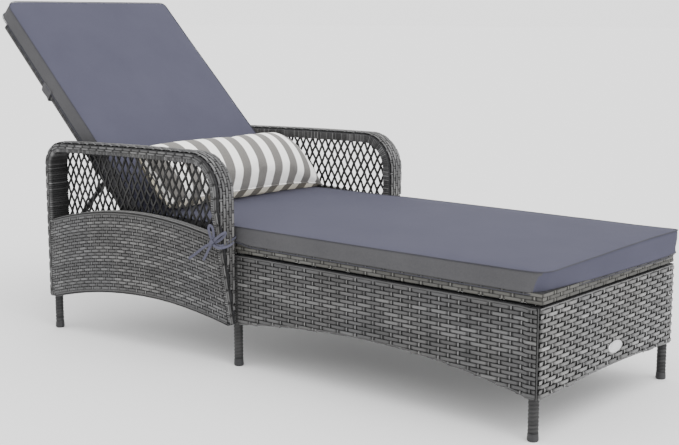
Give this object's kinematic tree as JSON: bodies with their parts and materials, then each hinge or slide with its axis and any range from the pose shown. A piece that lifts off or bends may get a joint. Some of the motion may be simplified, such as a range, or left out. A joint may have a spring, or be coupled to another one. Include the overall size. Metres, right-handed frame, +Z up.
{
  "type": "reclining sun lounger",
  "caption": "Woven rattan sun lounger with arched lattice arms, a back that reclines on a notched prop, a folding cushion and a striped lumbar pillow.",
  "frame": {"origin": "on the floor, under the middle of the whole lounger's box with the back at rest", "axes": "+X towards the foot end, +Y towards the sitter's left, +Z up"},
  "size_m": [1.8155, 0.7286, 0.8969],
  "materials": {
    "wicker": "flat grey synthetic rattan strands, lighter and darker greys mixed",
    "wicker_dark": "dark grey synthetic rattan wound round tubes and as single strands",
    "frame_steel": "black powder coat",
    "zinc_bolt": "zinc plated",
    "foot_plastic": "moulded black plastic",
    "plate_silver": "satin, blank",
    "cushion_fabric": "slate grey woven polyester",
    "strap_fabric": "dark grey cover fabric",
    "pillow_fabric": "white and grey striped canvas"
  },
  "bodies": {
    "base": {"arm_band_left": "wicker", "arm_band_right": "wicker", "arm_bolt_front_left": "zinc_bolt", "arm_bolt_front_right": "zinc_bolt", "arm_bolt_rear_left": "zinc_bolt", "arm_bolt_rear_right": "zinc_bolt", "arm_lattice_left": "wicker_dark", "arm_lattice_right": "wicker_dark", "arm_panel_left": "wicker", "arm_panel_right": "wicker", "back_pivot_bolt_left": "zinc_bolt", "back_pivot_bolt_right": "zinc_bolt", "badge_plate": "plate_silver", "bumper_left": "foot_plastic", "bumper_right": "foot_plastic", "cap_foot_left": "foot_plastic", "cap_foot_right": "foot_plastic", "cap_mid_left": "foot_plastic", "cap_mid_right": "foot_plastic", "cap_rear_left": "foot_plastic", "cap_rear_right": "foot_plastic", "cushion_tie_left": "cushion_fabric", "cushion_tie_right": "cushion_fabric", "deck_cross_rail_1": "frame_steel", "deck_cross_rail_2": "frame_steel", "foot_end_panel": "wicker", "hinge_bracket_left": "frame_steel", "hinge_bracket_right": "frame_steel", "leg_foot_left": "wicker_dark", "leg_foot_right": "wicker_dark", "leg_mid_left": "wicker_dark", "leg_mid_right": "wicker_dark", "leg_rear_left": "wicker_dark", "leg_rear_right": "wicker_dark", "rack_cross_rail": "frame_steel", "rack_left": "frame_steel", "rack_right": "frame_steel", "rear_cross_rail": "frame_steel", "seat_cushion": "cushion_fabric", "seat_deck": "wicker", "side_panel_left": "wicker", "side_panel_right": "wicker", "side_rail_left": "frame_steel", "side_rail_right": "frame_steel", "tie_bow_left": "cushion_fabric", "tie_bow_right": "cushion_fabric"},
    "back": {"back_cross_bottom": "frame_steel", "back_cross_middle": "wicker", "back_cross_top": "wicker", "back_cushion": "cushion_fabric", "back_rail_left": "wicker", "back_rail_right": "wicker", "back_strap": "strap_fabric", "back_woven_face": "wicker", "prop_bolt_left": "zinc_bolt", "prop_bolt_right": "zinc_bolt"},
    "prop": {"prop_arm_left": "frame_steel", "prop_arm_right": "frame_steel", "prop_bar": "frame_steel"},
    "pillow": {"lumbar_pillow": "pillow_fabric"}
  },
  "joints": [
    {"name": "back_hinge", "type": "hinge", "parent": "base", "child": "back", "pos_m": [-0.3429, 0, 0.296], "axis": [0, 1, 0], "range_deg": [-44, 16]},
    {"name": "prop_swing", "type": "hinge", "parent": "back", "child": "prop", "pos_m": [-0.49036, 0, 0.4384], "axis": [0, 1, 0], "range_deg": [-33, 89]},
    {"name": "pillow_slide", "type": "slide", "parent": "back", "child": "pillow", "axis": [-0.7193, 0, 0.6947], "range_m": [-0.095, 0.036]}
  ],
  "couplings": [
    {"joint": "prop_swing", "follows": "back_hinge", "ratio": -2},
    {"joint": "pillow_slide", "follows": "back_hinge", "m_per_rad": 0.12}
  ]
}
